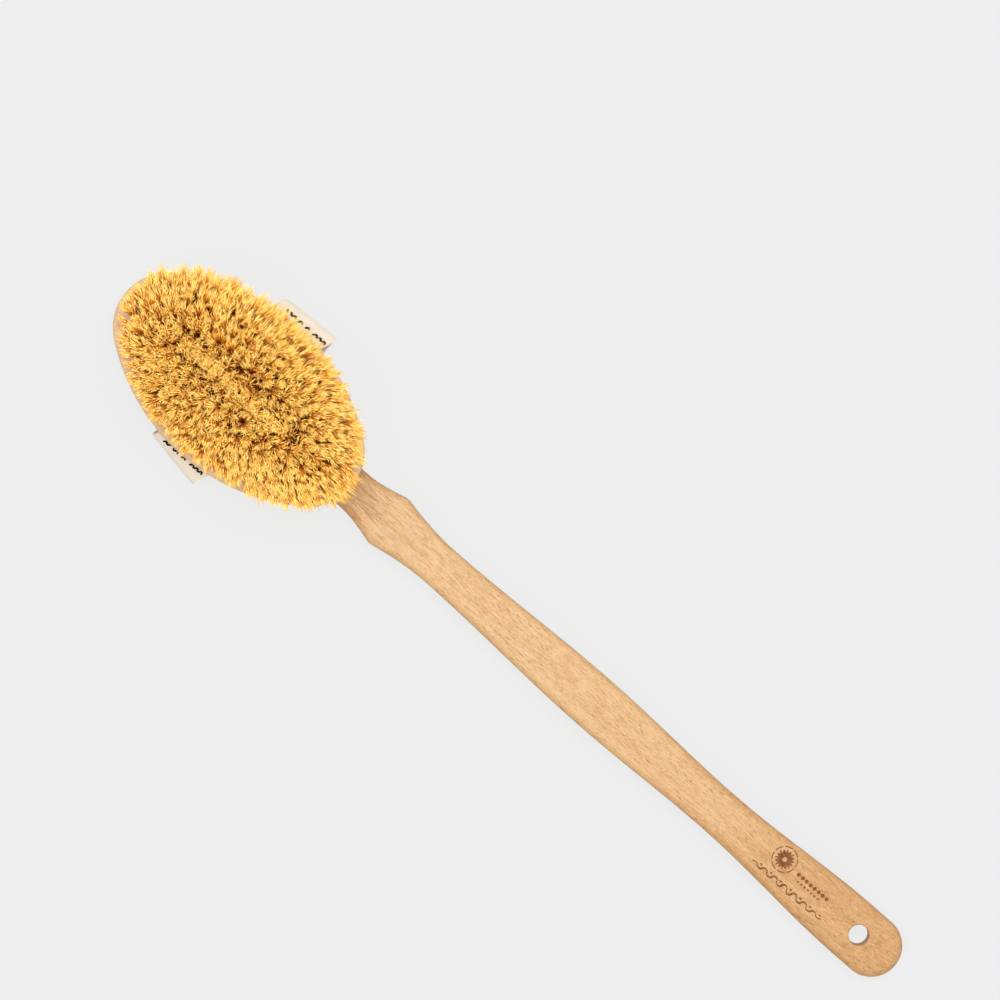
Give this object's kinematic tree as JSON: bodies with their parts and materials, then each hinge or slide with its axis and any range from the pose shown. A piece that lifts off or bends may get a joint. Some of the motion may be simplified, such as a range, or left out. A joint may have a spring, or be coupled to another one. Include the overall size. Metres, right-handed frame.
{
  "type": "body dry brush",
  "caption": "Long-handled wooden body brush: oval head of plant-fibre tufts, canvas hand strap on its back, and a flat handle that slides out of a dovetail slot.",
  "frame": {"origin": "centre of the overall box in plan, on the surface that the brush lies on with its bristles up", "axes": "+X along the handle from the head towards the hanging hole, +Z out of the bristles, +Y to the side of the hand strap's left fold"},
  "size_m": [0.44, 0.087, 0.0552],
  "materials": {
    "head_wood": "satin",
    "handle_wood": "satin",
    "strap_canvas": "matte",
    "tack_steel": "satin",
    "bristle_fibre": "satin",
    "anchor_brass": "satin"
  },
  "bodies": {
    "head": {"head_block": "head_wood", "hand_strap": "strap_canvas", "strap_tacks_left": "tack_steel", "strap_tacks_right": "tack_steel", "tuft_ring_1": "bristle_fibre", "tuft_ring_2": "bristle_fibre", "tuft_ring_3": "bristle_fibre", "tuft_ring_4": "bristle_fibre", "tuft_ring_5": "bristle_fibre", "tuft_anchors_ring_1": "anchor_brass", "tuft_anchors_ring_2": "anchor_brass", "tuft_anchors_ring_3": "anchor_brass", "tuft_anchors_ring_4": "anchor_brass", "tuft_anchors_ring_5": "anchor_brass"},
    "handle": {"handle": "handle_wood"}
  },
  "joints": [
    {"name": "handle_slide", "type": "slide", "parent": "head", "child": "handle", "axis": [1, 0, 0], "range_m": [0, 0.07]}
  ]
}
